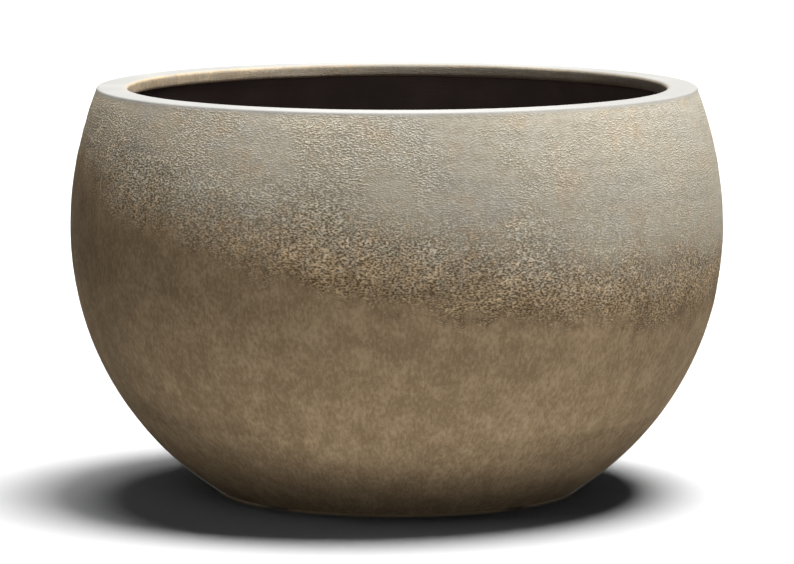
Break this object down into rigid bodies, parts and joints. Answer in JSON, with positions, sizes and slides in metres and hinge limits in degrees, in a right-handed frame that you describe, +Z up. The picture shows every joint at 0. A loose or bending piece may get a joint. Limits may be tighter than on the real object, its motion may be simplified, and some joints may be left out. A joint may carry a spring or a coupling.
{
  "type": "concrete bowl planter",
  "caption": "Round cast concrete bowl planter with a flat pale rim, a black waterproof inside and a plugged drain.",
  "frame": {"origin": "on the ground under the middle of the bowl", "axes": "+Z up along the bowl's axis; -Y is the side that the picture shows"},
  "size_m": [0.7619, 0.762, 0.473],
  "materials": {
    "concrete": "matte",
    "waterproof_coat": "matte",
    "steel": "matte",
    "grey_plastic": "satin",
    "black_rubber": "matte"
  },
  "bodies": {
    "bowl": {"bowl_shell": "concrete", "waterproof_coat": "waterproof_coat", "rim_hoop": "steel", "belly_hoop": "steel", "haunch_hoop": "steel", "base_hoop": "steel", "drain_hoop": "steel", "upright_bar_1": "steel", "upright_bar_2": "steel", "upright_bar_3": "steel", "upright_bar_4": "steel", "upright_bar_5": "steel", "upright_bar_6": "steel", "upright_bar_7": "steel", "upright_bar_8": "steel", "drain_coupling": "grey_plastic", "foot_pad_1": "black_rubber", "foot_pad_2": "black_rubber", "foot_pad_3": "black_rubber", "foot_pad_4": "black_rubber"},
    "plug": {"drain_plug": "black_rubber"}
  },
  "joints": [
    {"name": "plug_lift", "type": "slide", "parent": "bowl", "child": "plug", "axis": [0, 0, 1], "range_m": [0, 0.44]}
  ]
}
